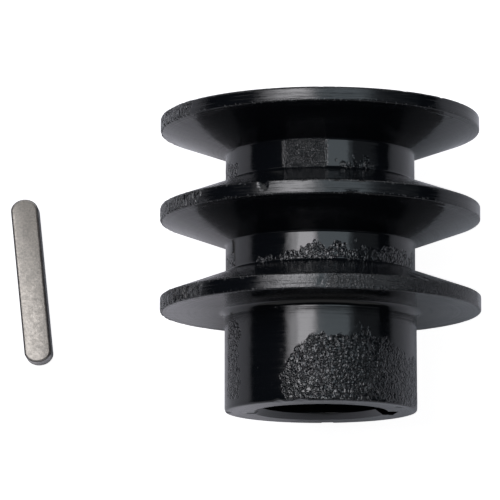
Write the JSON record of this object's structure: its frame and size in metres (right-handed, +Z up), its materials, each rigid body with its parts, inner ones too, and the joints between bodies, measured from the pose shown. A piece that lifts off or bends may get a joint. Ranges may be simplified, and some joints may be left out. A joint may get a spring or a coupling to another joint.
{
  "type": "v belt pulley",
  "caption": "V-belt pulley for a pair of belts, with a long keyed hub, a set screw in the hub and a loose round-ended parallel key.",
  "frame": {"origin": "on the bore's axis, at the middle of the centre flange", "axes": "+Y along the bore from the hub towards the flange end, +Z up from the surface that the pulley lies on, +X across it; the loose key lies at -X"},
  "size_m": [0.1019, 0.0625, 0.0676],
  "materials": {
    "black_paint": "semi-gloss black paint over a turned iron casting, rough cast skin left in places",
    "key_steel": "tumbled bright steel, warm grey",
    "screw_steel": "black oxide"
  },
  "bodies": {
    "pulley": {"pulley_casting": "black_paint"},
    "key": {"parallel_key": "key_steel"},
    "set_screw": {"set_screw": "screw_steel"}
  },
  "joints": [
    {"name": "key_lift", "type": "slide", "parent": "pulley", "child": "key", "axis": [0, 0, 1], "range_m": [0, 0.08]},
    {"name": "set_screw_travel", "type": "slide", "parent": "pulley", "child": "set_screw", "axis": [0.9863, 0, -0.165], "range_m": [0, 0.012]}
  ]
}
